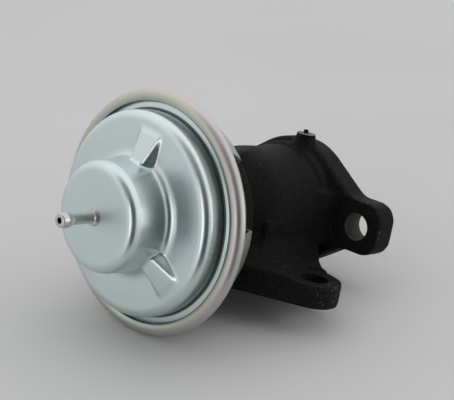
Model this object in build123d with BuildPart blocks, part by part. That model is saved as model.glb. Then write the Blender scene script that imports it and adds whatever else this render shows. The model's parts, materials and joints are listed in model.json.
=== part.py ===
"""Vacuum-operated exhaust gas recirculation (EGR) valve.

A spring-closed poppet in a cast-iron elbow is pulled open by a rubber diaphragm in a
crimped sheet-metal can.  The valve stem lies along Y.  The gas port for the exhaust
side faces +Y, the port for the intake side faces -Z, and the can with its vacuum
nipple points along -Y.

A station is a distance forward of the rear flange's face, so a station of s is Y = -s.
Turned parts are drawn as half sections in the XY plane, radius across and stem along.
"""

import os
from math import cos, radians, sin, tan

from build123d import *

os.makedirs("parts", exist_ok=True)

# ---------------------------------------------------------------- driving dimensions
# Casting, along the stem
body_length = 59.5
rear_flange_thickness = 9.5
front_flange_thickness = 3.6
front_flange_radius = 26.6
neck_radius = 14.8
neck_setback = 12.5
neck_flare = 7.2
barrel_radius = 19.6
barrel_station = 29.0
ridge_radius = 20.9
ridge_width = 2.0
groove_depth = 0.6
top_web_radius = 19.5
top_web_half_width = 13.0

# Rear flange and its two ears
rear_flange_radius = 22.6
rear_flange_round = 1.5
ear_pitch = 62.0
ear_reach = 9.0
ear_half_height = 8.9
ear_corner_radius = 6.2
ear_thickness = 8.3
ear_tangent_angle = 55.0
ear_blend_radius = 7.0
ear_root_radius = 22.4
ear_root_length = 3.0
ear_root_slope_length = 7.0
bolt_hole_radius = 4.5
spotface_radius = 10.2

# Lower flange
lower_port_station = 33.0
lower_face_drop = 20.7
lower_flange_thickness = 8.7
lower_flange_round = 1.6
lower_flange_radius = 25.5
lower_flange_rear_radius = 16.4
gusset_x = 33.0
gusset_station = 24.2
gusset_root_gap = 1.5
pedestal_edge_height = 6.0
pedestal_shoulder_radius = 21.0
pedestal_shoulder_height = 11.0
pedestal_neck_radius = 18.6
pedestal_neck_height = 18.0
side_inset = 0.2
side_draft = 0.8
side_flare_reach = 6.6
side_flare_height = 6.0
side_flare_front = 40.0
lug_pitch = 72.0
lug_radius = 9.0
lug_thickness = 7.2
lug_spotface_radius = 9.5

# Gas ways
rear_port_radius = 15.5
chamber_radius = 15.0
chamber_cone_length = 5.8
lower_port_radius = 13.0
lower_port_top_drop = 9.5

# Test boss on top of the rear flange
boss_x = 3.2
boss_station = 8.0
boss_radius = 3.35
boss_ring_height = 0.9
boss_flare_radius = 6.6
boss_flare_height = 7.4
boss_top = 24.85
boss_pin_radius = 0.85
boss_pin_depth = 5.0
boss_pin_rise = 1.3
boss_pin_offset = 0.35

# Valve seat, poppet and rod
seat_length = 5.0
orifice_radius = 11.0
seat_chamfer = 1.4
seat_gap = 0.3
poppet_radius = 13.0
poppet_edge = 0.9
poppet_back_rise = 1.6
rod_radius = 3.0
rod_spigot_radius = 2.5
rod_collar_radius = 4.5
rod_collar_length = 2.7
nut_across_flats = 8.0
nut_height = 3.2
nut_point = 0.7

# Guide, seal and its retainer
guide_radius = 7.5
guide_length = 15.5
guide_clearance = 0.05
seal_length = 2.2
retainer_radius = 8.6
retainer_thickness = 0.9
retainer_clearance = 0.6

# Vacuum can
sheet = 1.0
rim_radius = 38.0
rim_lip_width = 3.95
rim_bend = 1.1
lip_bend = 1.7
ledge_bend = 0.4
pan_depth = 15.5
pan_base_bend = 3.0
pan_side_lean = 6.2
pan_mouth_inset = 1.4
crimp_gap = 0.8
window_count = 3
window_angle = 25.5
window_width_angle = 41.0
window_base_width = 4.8
window_front_gap = 6.0
dome_inset = 6.5
dome_height = 6.4
dome_shoulder_radius = 3.0
cup_base_radius = 17.3
cup_face_radius = 16.6
cup_height = 20.6
cup_corner_radius = 2.8
rib_count = 3
rib_angle = 82.0
rib_height = 10.0
rib_end_inset = 2.9
rib_width = 10.2
rib_side_slope = 28.0

# Vacuum nipple
nipple_radius = 1.95
nipple_bore_radius = 0.95
nipple_length = 12.7
nipple_collar_radius = 3.0
nipple_collar_height = 1.1
bead_radius = 2.2
bead_length = 3.0
bead_slope = 1.2
tip_length = 0.8
tip_radius = 1.75

# Heat insulator between the can and the casting, and the screws that hold them
insulator_thickness = 1.0
insulator_inset = 0.2
screw_count = 3
screw_circle_radius = 19.5
screw_radius = 2.0
screw_head_radius = 3.8
screw_head_height = 2.4

# Diaphragm and its plates, with the valve shut
diaphragm_rise = 7.4
rubber = 0.8
plate_sheet = 1.2
front_plate_radius = 22.0
front_plate_rim = 3.0
rear_plate_radius = 21.0
rear_plate_rim = 1.1
convolution_inset = 4.0
convolution_width = 4.0
convolution_depth = 2.4

# Return spring
spring_radius = 12.0
spring_wire_radius = 1.0
spring_turns = 6.0
spring_seat_thickness = 1.0
spring_seat_inner_radius = 5.0
spring_seat_clearance = 0.3
spring_end_gap = 0.1

# ---------------------------------------------------------------- worked-out stations
neck_station = body_length - neck_setback
insulator_radius = front_flange_radius - insulator_inset
pan_back = body_length + insulator_thickness
rim_lip_radius = rim_radius - rim_lip_width
pan_mouth_radius = rim_radius - pan_mouth_inset
pan_base_radius = pan_mouth_radius - pan_side_lean
window_inner_radius = pan_base_radius - window_base_width
dome_radius = rim_radius - dome_inset
rib_end_radius = dome_radius - rib_end_inset
convolution_radius = dome_radius - convolution_inset
diaphragm_station = pan_back + diaphragm_rise
rim_station = pan_back + pan_depth
ledge_station = rim_station - 2 * sheet - rubber
clamp_radius = rim_radius - sheet - crimp_gap
cup_face_station = rim_station + cup_height
seat_front = rear_flange_thickness + seat_length + 1.5
chamfer_root = seat_front - seat_chamfer
poppet_cone_offset = chamfer_root - orifice_radius + seat_gap / cos(radians(45))
poppet_spigot_radius = orifice_radius - 0.6
poppet_tail = poppet_spigot_radius + poppet_cone_offset
poppet_front = poppet_radius + poppet_cone_offset + poppet_edge + poppet_back_rise
guide_front = body_length - seal_length
guide_back = guide_front - guide_length
chamber_station = guide_back - chamber_cone_length
rear_plate_back = diaphragm_station - rubber / 2 - plate_sheet
front_plate_front = diaphragm_station + rubber / 2 + plate_sheet
spring_seat_back = cup_face_station - sheet - spring_seat_thickness


def at(radius, station):
    """A point of a half section: radius from the stem axis, station forward."""
    return (radius, -station)


def station_plane(station):
    """The plane across the stem at a station; it faces forward, its y is +Z."""
    return Plane.XZ.offset(station)


# ---------------------------------------------------------------- valve body casting
with BuildPart() as top_web:
    # the barrel's round top runs on to the front flange as a narrowing web
    web_tail = barrel_station + 3.0
    with BuildSketch(Plane.XY):
        Polygon(
            at(-top_web_half_width, body_length),
            at(top_web_half_width, body_length),
            at(top_web_half_width / 2, (body_length + web_tail) / 2 + 1.0),
            at(1.2, web_tail),
            at(-1.2, web_tail),
            at(-top_web_half_width / 2, (body_length + web_tail) / 2 + 1.0),
            align=None,
        )
    extrude(amount=top_web_radius)
    with BuildSketch(station_plane(0)):
        Circle(top_web_radius)
    extrude(amount=body_length, mode=Mode.INTERSECT)

with BuildPart() as ear_roots:
    root_back = rear_flange_thickness - 0.5
    root_front = root_back + ear_root_length + ear_root_slope_length
    with BuildSketch(Plane.XY):
        Polygon(
            at(chamber_radius, root_front),
            at(barrel_radius - 1.0, root_front),
            at(ear_root_radius, root_back + ear_root_length),
            at(ear_root_radius, root_back),
            at(chamber_radius, root_back),
            align=None,
        )
    revolve(axis=Axis.Y)
    Box(3 * ear_root_radius, 3 * body_length, 2 * ear_half_height, mode=Mode.INTERSECT)

with BuildSketch(Plane.XY.offset(-lower_face_drop)) as lower_outline:
    # wide in front of the port, narrow behind it, with a gusset out to each lug
    lug_centres = [at(-lug_pitch / 2, lower_port_station), at(lug_pitch / 2, lower_port_station)]
    with BuildSketch(mode=Mode.PRIVATE) as wide_circles:
        with Locations(at(0, lower_port_station)):
            Circle(lower_flange_radius)
        with Locations(lug_centres):
            Circle(lug_radius)
    make_hull(wide_circles.edges())
    with Locations(at(0, lower_port_station - body_length / 2)):
        Rectangle(2 * lug_pitch, body_length, mode=Mode.SUBTRACT)
    with BuildSketch(mode=Mode.PRIVATE) as narrow_circles:
        with Locations(at(0, lower_port_station)):
            Circle(lower_flange_rear_radius)
        with Locations(lug_centres):
            Circle(lug_radius)
    make_hull(narrow_circles.edges())
    gusset_root = rear_flange_thickness + gusset_root_gap
    Polygon(
        at(-gusset_x, gusset_station),
        at(-barrel_radius, gusset_root),
        at(barrel_radius, gusset_root),
        at(gusset_x, gusset_station),
        at(gusset_x, lower_port_station),
        at(-gusset_x, lower_port_station),
        align=None,
    )

with BuildPart() as lower_flange:
    extrude(lower_outline.sketch, amount=lower_flange_thickness)
    fillet(lower_flange.faces().sort_by(Axis.Z)[-1].edges(), radius=lower_flange_round)

with BuildPart() as pedestal:
    # round the lower port: a bell that rises from the flange into the barrel
    with BuildSketch(Plane.XZ.offset(lower_port_station)):
        with BuildLine():
            pedestal_foot = Polyline(
                (0, -lower_face_drop),
                (lower_flange_radius, -lower_face_drop),
                (lower_flange_radius, pedestal_edge_height - lower_face_drop),
            )
            bell = Spline(
                pedestal_foot @ 1,
                (pedestal_shoulder_radius, pedestal_shoulder_height - lower_face_drop),
                (pedestal_neck_radius, pedestal_neck_height - lower_face_drop),
                tangents=((0, 1), (0, 1)),
            )
            Polyline(bell @ 1, (0, pedestal_neck_height - lower_face_drop), pedestal_foot @ 0)
        make_face()
    revolve(axis=Axis((0, -lower_port_station, 0), (0, 0, 1)))
    # along the barrel: straight sides with a hollow flare out over the flange
    deck = lower_flange_thickness - lower_face_drop
    side_x = barrel_radius - side_inset - side_draft
    with BuildSketch(station_plane(gusset_root)):
        with BuildLine():
            side_top = Polyline(
                (0, -lower_face_drop),
                (0, 0),
                (barrel_radius - side_inset, 0),
                (side_x, deck + side_flare_height),
            )
            side_flare = ThreePointArc(
                side_top @ 1,
                (side_x + 0.29 * side_flare_reach, deck + 0.29 * side_flare_height),
                (side_x + side_flare_reach, deck),
            )
            Polyline(side_flare @ 1, (side_x + side_flare_reach, -lower_face_drop), side_top @ 0)
        make_face()
        mirror(about=Plane.YZ)
    extrude(amount=side_flare_front - gusset_root)
    extrude(lower_outline.sketch, amount=lower_face_drop, mode=Mode.INTERSECT)

with BuildPart() as rear_flange:
    # a disc with two ears on tangent shoulders, its front edge rounded
    shoulder_x = rear_flange_radius * cos(radians(ear_tangent_angle))
    shoulder_z = rear_flange_radius * sin(radians(ear_tangent_angle))
    shoulder_end = shoulder_x + (shoulder_z - ear_half_height) * tan(radians(ear_tangent_angle))
    with BuildSketch(station_plane(0)) as rear_outline:
        Circle(rear_flange_radius)
        Polygon(
            (shoulder_x, shoulder_z),
            (shoulder_end, ear_half_height),
            (shoulder_end, -ear_half_height),
            (shoulder_x, -shoulder_z),
            (-shoulder_x, -shoulder_z),
            (-shoulder_end, -ear_half_height),
            (-shoulder_end, ear_half_height),
            (-shoulder_x, shoulder_z),
            align=None,
        )
        RectangleRounded(ear_pitch + 2 * ear_reach, 2 * ear_half_height, ear_corner_radius)
        waist = [
            v
            for v in rear_outline.vertices()
            if abs(abs(v.X) - shoulder_end) < 0.01 and abs(abs(v.Y) - ear_half_height) < 0.01
        ]
        fillet(waist, radius=ear_blend_radius)
    extrude(amount=rear_flange_thickness - 0.6)
    fillet(rear_flange.faces().sort_by(Axis.Y)[0].edges(), radius=rear_flange_round)

with BuildPart() as boss:
    # test boss: a thin plain ring on one concave flare that dies into the barrel
    boss_foot = boss_top - boss_flare_height
    with BuildSketch(Plane((boss_x, -boss_station, 0), x_dir=(1, 0, 0), z_dir=(0, -1, 0))):
        with BuildLine():
            boss_side = Polyline(
                (0, boss_foot - 3.0),
                (0, boss_top),
                (boss_radius, boss_top),
                (boss_radius, boss_top - boss_ring_height),
            )
            boss_flare = ThreePointArc(
                boss_side @ 1,
                (0.68 * boss_radius + 0.32 * boss_flare_radius, boss_foot + 0.4 * boss_flare_height),
                (boss_flare_radius, boss_foot),
            )
            Polyline(boss_flare @ 1, (boss_flare_radius, boss_foot - 3.0), boss_side @ 0)
        make_face()
    revolve(axis=Axis((boss_x, -boss_station, 0), (0, 0, 1)))

with BuildPart() as valve_body:
    # turned outline: front flange, waisted neck, barrel, ridge and rear flange
    groove_floor = barrel_radius - groove_depth
    with BuildSketch(Plane.XY):
        with BuildLine():
            front_edge = Polyline(
                at(0, body_length),
                at(front_flange_radius, body_length),
                at(front_flange_radius, body_length - front_flange_thickness),
                at(neck_radius + neck_flare, body_length - front_flange_thickness),
            )
            neck_drop = barrel_radius - neck_radius
            neck_run = neck_station - barrel_station
            barrel = Spline(
                front_edge @ 1,
                at(neck_radius + 0.25 * neck_flare, neck_station + 0.3 * neck_setback),
                at(neck_radius, neck_station),
                at(barrel_radius - 0.62 * neck_drop, barrel_station + 0.7 * neck_run),
                at(barrel_radius - 0.12 * neck_drop, barrel_station + 0.4 * neck_run),
                at(barrel_radius, barrel_station),
                at(barrel_radius + 0.3, rear_flange_thickness + 3 * ridge_width),
            )
            tail = FilletPolyline(
                barrel @ 1,
                at(groove_floor + 0.3, rear_flange_thickness + ridge_width + 2.2),
                at(ridge_radius, rear_flange_thickness + ridge_width + 0.8),
                at(ridge_radius, rear_flange_thickness + 0.8),
                at(groove_floor + 0.6, rear_flange_thickness - 0.6),
                at(groove_floor + 0.6, 0),
                radius=[0.5, 0.5, 0.5, 0.3],
            )
            Polyline(tail @ 1, at(0, 0), front_edge @ 0)
        make_face()
    revolve(axis=Axis.Y)
    add(top_web.part)
    add(ear_roots.part)
    add(lower_flange.part)
    add(pedestal.part)
    add(rear_flange.part)
    add(boss.part)

    # the lower joint face runs on under the front flange
    split(bisect_by=Plane.XY.offset(-lower_face_drop), keep=Keep.TOP)

    # spot faces and bolt holes
    with BuildSketch(station_plane(ear_thickness)):
        with GridLocations(ear_pitch, 0, 2, 1):
            Circle(spotface_radius)
    extrude(amount=body_length / 3, mode=Mode.SUBTRACT)
    with BuildSketch(station_plane(0)):
        with GridLocations(ear_pitch, 0, 2, 1):
            Circle(bolt_hole_radius)
    extrude(amount=rear_flange_thickness, mode=Mode.SUBTRACT)
    with BuildSketch(Plane.XY.offset(lug_thickness - lower_face_drop)):
        with Locations(lug_centres):
            Circle(lug_spotface_radius)
    extrude(amount=lower_flange_thickness, mode=Mode.SUBTRACT)
    with BuildSketch(Plane.XY.offset(-lower_face_drop)):
        with Locations(lug_centres):
            Circle(bolt_hole_radius)
    extrude(amount=lower_flange_thickness, mode=Mode.SUBTRACT)

    # gas way: seat bore, chamber and guide bore, then the lower port
    with BuildSketch(Plane.XY):
        Polygon(
            at(0, 0),
            at(rear_port_radius, 0),
            at(rear_port_radius, seat_front),
            at(chamber_radius, seat_front),
            at(chamber_radius, chamber_station),
            at(guide_radius, guide_back),
            at(guide_radius, body_length),
            at(0, body_length),
            align=None,
        )
    revolve(axis=Axis.Y, mode=Mode.SUBTRACT)
    with BuildSketch(Plane.XY.offset(-lower_face_drop)):
        with Locations(at(0, lower_port_station)):
            Circle(lower_port_radius)
    extrude(amount=lower_face_drop - lower_port_top_drop, mode=Mode.SUBTRACT)

    # screw holes in the front flange and the pin hole in the boss
    with BuildSketch(station_plane(body_length)):
        with PolarLocations(screw_circle_radius, screw_count, start_angle=rib_angle):
            Circle(screw_radius)
    extrude(amount=-front_flange_thickness, mode=Mode.SUBTRACT)
    with Locations((boss_x - boss_pin_offset, -boss_station, boss_top)):
        Cylinder(
            boss_pin_radius,
            boss_pin_depth,
            align=(Align.CENTER, Align.CENTER, Align.MAX),
            mode=Mode.SUBTRACT,
        )
valve_body.part.label = "valve_body"
export_step(valve_body.part, "parts/valve_body.step")

with BuildPart() as boss_pin:
    with Locations((boss_x - boss_pin_offset, -boss_station, boss_top - boss_pin_depth)):
        Cylinder(
            boss_pin_radius,
            boss_pin_depth + boss_pin_rise,
            align=(Align.CENTER, Align.CENTER, Align.MIN),
        )
    fillet(boss_pin.faces().sort_by(Axis.Z)[-1].edges(), radius=0.6 * boss_pin_radius)
boss_pin.part.label = "boss_pin"
export_step(boss_pin.part, "parts/boss_pin.step")

# ---------------------------------------------------------------- seat and poppet
with BuildPart() as valve_seat:
    with BuildSketch(Plane.XY):
        Polygon(
            at(orifice_radius, seat_front - seat_length),
            at(rear_port_radius, seat_front - seat_length),
            at(rear_port_radius, seat_front),
            at(orifice_radius + seat_chamfer, seat_front),
            at(orifice_radius, chamfer_root),
            align=None,
        )
    revolve(axis=Axis.Y)
valve_seat.part.label = "valve_seat"
export_step(valve_seat.part, "parts/valve_seat.step")

with BuildPart() as poppet:
    rim_back = poppet_radius + poppet_cone_offset
    with BuildSketch(Plane.XY):
        Polygon(
            at(rod_spigot_radius, poppet_tail),
            at(poppet_spigot_radius, poppet_tail),
            at(poppet_radius, rim_back),
            at(poppet_radius, rim_back + poppet_edge),
            at(0.6 * poppet_radius, poppet_front),
            at(rod_spigot_radius, poppet_front),
            align=None,
        )
    revolve(axis=Axis.Y)
poppet.part.label = "poppet"
export_step(poppet.part, "parts/poppet.step")

with BuildPart() as poppet_nut:
    with BuildSketch(station_plane(poppet_tail - nut_height)):
        RegularPolygon(nut_across_flats / 2, 6, major_radius=False)
        Circle(rod_spigot_radius, mode=Mode.SUBTRACT)
    extrude(amount=nut_height)
poppet_nut.part.label = "poppet_nut"
export_step(poppet_nut.part, "parts/poppet_nut.step")

# ---------------------------------------------------------------- rod, guide and seal
rod_tail = poppet_tail - nut_height - nut_point
rod_nose = front_plate_front + nut_height + nut_point
with BuildPart() as valve_rod:
    with BuildSketch(Plane.XY):
        Polygon(
            at(0, rod_tail),
            at(rod_spigot_radius, rod_tail),
            at(rod_spigot_radius, poppet_front),
            at(rod_radius, poppet_front),
            at(rod_radius, rear_plate_back - rod_collar_length),
            at(rod_collar_radius, rear_plate_back - rod_collar_length),
            at(rod_collar_radius, rear_plate_back),
            at(rod_spigot_radius, rear_plate_back),
            at(rod_spigot_radius, rod_nose),
            at(0, rod_nose),
            align=None,
        )
    revolve(axis=Axis.Y)
valve_rod.part.label = "valve_rod"
export_step(valve_rod.part, "parts/valve_rod.step")

with BuildPart() as guide_bush:
    with BuildSketch(station_plane(guide_back)):
        Circle(guide_radius)
        Circle(rod_radius + guide_clearance, mode=Mode.SUBTRACT)
    extrude(amount=guide_length)
    chamfer(guide_bush.faces().sort_by(Axis.Y)[-1].edges().sort_by(SortBy.LENGTH)[-1], length=1.0)
guide_bush.part.label = "guide_bush"
export_step(guide_bush.part, "parts/guide_bush.step")

with BuildPart() as rod_seal:
    with BuildSketch(station_plane(guide_front)):
        Circle(guide_radius)
        Circle(rod_radius + guide_clearance, mode=Mode.SUBTRACT)
    extrude(amount=seal_length)
rod_seal.part.label = "rod_seal"
export_step(rod_seal.part, "parts/rod_seal.step")

with BuildPart() as seal_retainer:
    with BuildSketch(station_plane(body_length)):
        Circle(retainer_radius)
        Circle(rod_radius + 4 * guide_clearance, mode=Mode.SUBTRACT)
    extrude(amount=retainer_thickness)
seal_retainer.part.label = "seal_retainer"
export_step(seal_retainer.part, "parts/seal_retainer.step")

# ---------------------------------------------------------------- heat insulator, screws
well_radius = retainer_radius + retainer_clearance
with BuildPart() as heat_insulator:
    with BuildSketch(station_plane(body_length)):
        Circle(insulator_radius)
        Circle(well_radius, mode=Mode.SUBTRACT)
        with PolarLocations(screw_circle_radius, screw_count, start_angle=rib_angle):
            Circle(screw_radius, mode=Mode.SUBTRACT)
    extrude(amount=insulator_thickness)
heat_insulator.part.label = "heat_insulator"
export_step(heat_insulator.part, "parts/heat_insulator.step")

with BuildPart() as can_screws:
    with BuildSketch(station_plane(body_length - front_flange_thickness)):
        with PolarLocations(screw_circle_radius, screw_count, start_angle=rib_angle):
            Circle(screw_radius)
    extrude(amount=front_flange_thickness + insulator_thickness + sheet)
    with BuildSketch(station_plane(pan_back + sheet)):
        with PolarLocations(screw_circle_radius, screw_count, start_angle=rib_angle):
            Circle(screw_head_radius)
    extrude(amount=screw_head_height)
    head_tops = can_screws.faces().sort_by(Axis.Y)[:screw_count]
    fillet(head_tops.edges(), radius=0.4 * screw_head_height)
can_screws.part.label = "can_screws"
export_step(can_screws.part, "parts/can_screws.step")

# ---------------------------------------------------------------- vacuum can
with BuildPart() as rear_shell:
    # pan with its mouth turned out, up and over the front shell's flange
    with BuildSketch(Plane.XY):
        with BuildLine():
            FilletPolyline(
                at(well_radius, pan_back),
                at(pan_base_radius, pan_back),
                at(pan_mouth_radius, ledge_station - sheet),
                at(rim_radius, ledge_station - sheet),
                at(rim_radius, rim_station),
                at(rim_lip_radius, rim_station),
                radius=[pan_base_bend, ledge_bend, rim_bend, lip_bend],
            )
            offset(amount=sheet, side=Side.RIGHT)
        make_face()
    revolve(axis=Axis.Y)
    with BuildSketch(station_plane(pan_back - 1.0)):
        for k in range(window_count):
            middle = radians(window_angle + k * 360 / window_count)
            half = radians(window_width_angle / 2)
            reach = 1.2 * rim_radius / cos(half)
            Polygon(
                (window_inner_radius * cos(middle - half), window_inner_radius * sin(middle - half)),
                (reach * cos(middle - half), reach * sin(middle - half)),
                (reach * cos(middle + half), reach * sin(middle + half)),
                (window_inner_radius * cos(middle + half), window_inner_radius * sin(middle + half)),
                align=None,
            )
    extrude(amount=pan_depth + 1.0 - window_front_gap, mode=Mode.SUBTRACT)
    with BuildSketch(station_plane(pan_back)):
        with PolarLocations(screw_circle_radius, screw_count, start_angle=rib_angle):
            Circle(screw_radius)
    extrude(amount=sheet, mode=Mode.SUBTRACT)
rear_shell.part.label = "rear_shell"
export_step(rear_shell.part, "parts/rear_shell.step")

with BuildPart() as rib:
    # one stiffening rib, along +X: a wedge from high on the cup down to the dome's edge
    rib_root = cup_base_radius - 0.5 * sheet
    rib_floor = rim_station + dome_height - 0.5 * sheet
    rib_top = rim_station + rib_height
    with BuildSketch(station_plane(rib_floor)):
        with Locations((rib_root / 2 + rib_end_radius / 2, 0)):
            Rectangle(rib_end_radius + rib_root, rib_width)
    extrude(amount=rib_top - rib_floor, taper=rib_side_slope)
    with BuildSketch(Plane.XY):
        Polygon(
            at(rib_root, rib_floor),
            at(rib_root, rib_top),
            at(cup_base_radius, rib_top),
            at(rib_end_radius, rib_floor + 0.5 * sheet),
            at(rib_end_radius, rib_floor),
            align=None,
        )
    extrude(amount=rib_width, both=True, mode=Mode.INTERSECT)

with BuildPart() as front_shell:
    # spring cup, flat dome and the flange that lies under the crimp
    with BuildSketch(Plane.XY):
        with BuildLine():
            FilletPolyline(
                at(nipple_radius, cup_face_station),
                at(cup_face_radius, cup_face_station),
                at(cup_base_radius, rim_station + dome_height),
                at(dome_radius, rim_station + dome_height),
                at(dome_radius, rim_station - sheet),
                at(clamp_radius, rim_station - sheet),
                radius=[cup_corner_radius, 1.2, dome_shoulder_radius, 0.8],
            )
            offset(amount=sheet, side=Side.LEFT)
        make_face()
    revolve(axis=Axis.Y)
    for k in range(rib_count):
        add(rib.part.rotate(Axis.Y, -rib_angle - k * 360 / rib_count))
front_shell.part.label = "front_shell"
export_step(front_shell.part, "parts/front_shell.step")

with BuildPart() as vacuum_nipple:
    nipple_tip = cup_face_station + nipple_length
    bead_front = nipple_tip - tip_length
    bead_back = bead_front - bead_length
    with BuildSketch(Plane.XY):
        Polygon(
            at(nipple_bore_radius, cup_face_station - sheet),
            at(nipple_radius, cup_face_station - sheet),
            at(nipple_radius, cup_face_station),
            at(nipple_collar_radius, cup_face_station),
            at(nipple_collar_radius - 0.3, cup_face_station + nipple_collar_height),
            at(nipple_radius, cup_face_station + nipple_collar_height),
            at(nipple_radius, bead_back - bead_slope),
            at(bead_radius, bead_back),
            at(bead_radius, bead_front),
            at(tip_radius, nipple_tip),
            at(nipple_bore_radius, nipple_tip),
            align=None,
        )
    revolve(axis=Axis.Y)
vacuum_nipple.part.label = "vacuum_nipple"
export_step(vacuum_nipple.part, "parts/vacuum_nipple.step")

# ---------------------------------------------------------------- diaphragm and plates
with BuildPart() as diaphragm:
    rubber_front = diaphragm_station + rubber / 2
    bead_face = rim_station - 2 * sheet
    with BuildSketch(Plane.XY):
        with BuildLine():
            FilletPolyline(
                at(rod_spigot_radius, rubber_front),
                at(convolution_radius - convolution_width, rubber_front),
                at(convolution_radius, rubber_front - convolution_depth),
                at(convolution_radius + 0.75 * convolution_width, rubber_front + 2 * rubber),
                at(dome_radius + 1.3, bead_face),
                at(clamp_radius, bead_face),
                radius=[1.4, 1.4, 2.0, 0.9],
            )
            offset(amount=rubber, side=Side.LEFT)
        make_face()
    revolve(axis=Axis.Y)
diaphragm.part.label = "diaphragm"
export_step(diaphragm.part, "parts/diaphragm.step")

with BuildPart() as diaphragm_front_plate:
    plate_back = diaphragm_station + rubber / 2
    with BuildSketch(Plane.XY):
        with BuildLine():
            FilletPolyline(
                at(rod_spigot_radius, plate_back),
                at(front_plate_radius, plate_back),
                at(front_plate_radius, plate_back + front_plate_rim),
                radius=1.6,
            )
            offset(amount=plate_sheet, side=Side.RIGHT)
        make_face()
    revolve(axis=Axis.Y)
diaphragm_front_plate.part.label = "diaphragm_front_plate"
export_step(diaphragm_front_plate.part, "parts/diaphragm_front_plate.step")

with BuildPart() as diaphragm_rear_plate:
    plate_front = diaphragm_station - rubber / 2
    with BuildSketch(Plane.XY):
        with BuildLine():
            FilletPolyline(
                at(rod_spigot_radius, plate_front),
                at(rear_plate_radius, plate_front),
                at(rear_plate_radius, plate_front - plate_sheet - rear_plate_rim),
                radius=1.6,
            )
            offset(amount=plate_sheet, side=Side.LEFT)
        make_face()
    revolve(axis=Axis.Y)
diaphragm_rear_plate.part.label = "diaphragm_rear_plate"
export_step(diaphragm_rear_plate.part, "parts/diaphragm_rear_plate.step")

with BuildPart() as rod_nut:
    with BuildSketch(station_plane(front_plate_front)):
        RegularPolygon(nut_across_flats / 2, 6, major_radius=False)
        Circle(rod_spigot_radius, mode=Mode.SUBTRACT)
    extrude(amount=nut_height)
rod_nut.part.label = "rod_nut"
export_step(rod_nut.part, "parts/rod_nut.step")

# ---------------------------------------------------------------- return spring
with BuildPart() as spring_seat:
    seat_rim = cup_face_radius - sheet - spring_seat_clearance - cup_corner_radius / 2
    with BuildSketch(station_plane(spring_seat_back)):
        Circle(seat_rim)
        Circle(spring_seat_inner_radius, mode=Mode.SUBTRACT)
    extrude(amount=spring_seat_thickness)
spring_seat.part.label = "spring_seat"
export_step(spring_seat.part, "parts/spring_seat.step")

with BuildPart() as return_spring:
    spring_start = front_plate_front + spring_wire_radius + spring_end_gap
    spring_height = spring_seat_back - spring_wire_radius - spring_end_gap - spring_start
    with BuildLine() as coil:
        Helix(
            pitch=spring_height / spring_turns,
            height=spring_height,
            radius=spring_radius,
            center=(0, -spring_start, 0),
            direction=(0, -1, 0),
        )
    with BuildSketch(Plane(origin=coil.line @ 0, z_dir=coil.line % 0)):
        Circle(spring_wire_radius)
    sweep()
return_spring.part.label = "return_spring"
export_step(return_spring.part, "parts/return_spring.step")
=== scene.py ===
"""EGR valve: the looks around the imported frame. Metres, in the frame of the part's source.

The stem axis is Y. A station is the distance forward from the rear joint face, so it is minus Y.
"""

import json

import bmesh
import bpy
import numpy as np
from mathutils import Matrix, Vector


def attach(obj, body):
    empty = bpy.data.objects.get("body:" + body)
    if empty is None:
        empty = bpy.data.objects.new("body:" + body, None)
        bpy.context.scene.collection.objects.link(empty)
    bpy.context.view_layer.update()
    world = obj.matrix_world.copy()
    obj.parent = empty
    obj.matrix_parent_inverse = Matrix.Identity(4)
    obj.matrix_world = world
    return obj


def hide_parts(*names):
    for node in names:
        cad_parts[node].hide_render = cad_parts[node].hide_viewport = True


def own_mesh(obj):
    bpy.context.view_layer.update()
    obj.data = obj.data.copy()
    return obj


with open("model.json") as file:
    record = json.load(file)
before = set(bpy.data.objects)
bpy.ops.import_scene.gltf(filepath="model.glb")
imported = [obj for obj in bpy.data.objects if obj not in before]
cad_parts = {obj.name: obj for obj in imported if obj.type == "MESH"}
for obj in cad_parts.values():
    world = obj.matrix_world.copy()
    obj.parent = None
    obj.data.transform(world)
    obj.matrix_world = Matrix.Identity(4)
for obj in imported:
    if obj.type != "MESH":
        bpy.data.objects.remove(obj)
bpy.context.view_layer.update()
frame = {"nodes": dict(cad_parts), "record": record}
MM = 0.001

# ---------------------------------------------------------------- sizes, in millimetres
# Front shell: the rim's front plane, the sheet, the dome, the cup and the groove beside the rim
RIM_STATION = 76.0
SHEET = 1.0
DOME_HEIGHT = 6.4
DOME_RADIUS = 31.5
SHOULDER_RADIUS = 3.0
CUP_BASE_RADIUS = 17.3
CUP_FACE_RADIUS = 16.6
CUP_HEIGHT = 20.6
CUP_CORNER_RADIUS = 2.8
CUP_FOOT_BLEND = 4.2
GROOVE_STATION = 74.7
FOOT_RADIUS = 0.3
CLAMP_RADIUS = 36.2
STEM_BORE_RADIUS = 1.0

# Three wedge ribs between the cup and the dome's flat
RIB_ANGLES = (82.0, 202.0, 322.0)
RIB_HEIGHT = 10.0
RIB_END_RADIUS = 28.6
RIB_WIDTH = 10.2
RIB_SIDE_SLOPE = 28.0
RIB_TOP_BLEND = 2.6
RIB_FOOT_BLEND = 1.4
RIB_END_FADE = 3.0

# Rear shell: the rolled rim and its lip, the pan and its three windows
RIM_RADIUS = 38.0
RIM_ROLL = 2.6
RIM_REAR = 72.2
RIM_REAR_BEND = 1.1
LIP_RADIUS = 34.05
LIP_DROP = 0.45
PAN_BACK = 60.5
PAN_MOUTH_RADIUS = 36.6
PAN_BASE_RADIUS = 30.4
PAN_BASE_BEND = 3.0
PAN_MOUTH_BEND = 0.4
PAN_WELL_RADIUS = 9.2
WINDOW_ANGLES = (25.5, 145.5, 265.5)
WINDOW_HALF_ANGLE = 20.5
WINDOW_INNER_RADIUS = 25.6
WINDOW_FRONT = 70.0

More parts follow.
